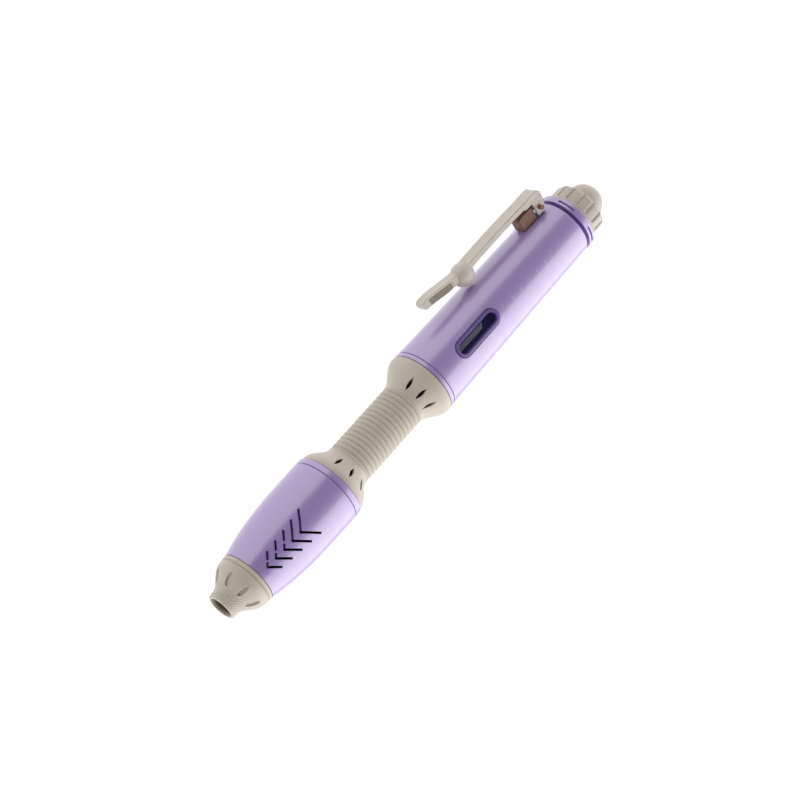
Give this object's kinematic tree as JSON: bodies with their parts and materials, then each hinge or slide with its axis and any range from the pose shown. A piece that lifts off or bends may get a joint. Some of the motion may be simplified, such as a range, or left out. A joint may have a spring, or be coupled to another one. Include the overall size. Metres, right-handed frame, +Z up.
{
  "type": "fabric marking pen",
  "caption": "Twist-action fabric marking pen: swelling casing with chevron vents, ribbed waist, windowed barrel, sprung clip with a ball and tab, and fluted knob that feeds a nib out of the open nose.",
  "frame": {"origin": "on the table under the middle of the pen's bounding box, as it lies on its casing and on its clip", "axes": "+X along the pen's axis towards the nose, +Z up, -Y towards the side with the window and the clip"},
  "size_m": [0.1434, 0.024, 0.0188],
  "materials": {
    "purple_shell": "pearly satin gloss",
    "dark_purple": "satin",
    "beige_shell": "satin",
    "beige_grip": "soft matt",
    "brown_plastic": "satin",
    "white_plastic": "satin",
    "black_rubber": "matt",
    "black_plastic": "satin",
    "steel": "bright",
    "clear_plastic": "clear",
    "ink": "ink-soaked fibre"
  },
  "bodies": {
    "body": {"nose_cone": "beige_shell", "nose_bush": "brown_plastic", "nose_seal": "black_rubber", "lower_casing": "purple_shell", "casing_collar": "purple_shell", "lower_flare": "beige_shell", "grip_sleeve": "beige_grip", "upper_flare": "beige_shell", "barrel_collar": "purple_shell", "core_tube": "dark_purple", "clamp_nut": "steel", "barrel": "purple_shell", "window_bezel": "purple_shell", "window_lens": "clear_plastic", "top_ring": "purple_shell", "spindle_bush": "white_plastic", "guide_sleeve": "black_plastic", "return_spring": "steel", "clip_base": "brown_plastic", "clip_spring": "steel", "clip_screw": "steel"},
    "twist": {"knob": "beige_shell", "knob_cap": "beige_shell", "knob_screw": "steel", "knob_spindle": "steel", "cam_rotor": "white_plastic"},
    "refill": {"nib": "ink", "nib_holder": "black_plastic", "ink_cartridge": "clear_plastic", "ink_wick": "ink", "cartridge_plug": "black_plastic", "cam_follower": "white_plastic"},
    "clip": {"clip_strap": "beige_shell", "clip_ball": "beige_shell", "clip_tab": "beige_shell", "clip_pin": "steel"}
  },
  "joints": [
    {"name": "knob_turn", "type": "hinge", "parent": "body", "child": "twist", "pos_m": [-0.0608, 0.00258, 0.0094], "axis": [1, 0, 0], "range_deg": [0, 180]},
    {"name": "refill_slide", "type": "slide", "parent": "body", "child": "refill", "axis": [1, 0, 0], "range_m": [0, 0.007], "deforming": ["return_spring"]},
    {"name": "clip_flex", "type": "hinge", "parent": "body", "child": "clip", "pos_m": [-0.0544, -0.0063, 0.00418], "axis": [0, 0.5067, -0.8621], "range_deg": [0, 8], "stiffness_Nm_per_rad": 0.1, "springref_deg": -5.73}
  ],
  "couplings": [
    {"joint": "knob_turn", "follows": "refill_slide", "rad_per_m": 448.8}
  ]
}
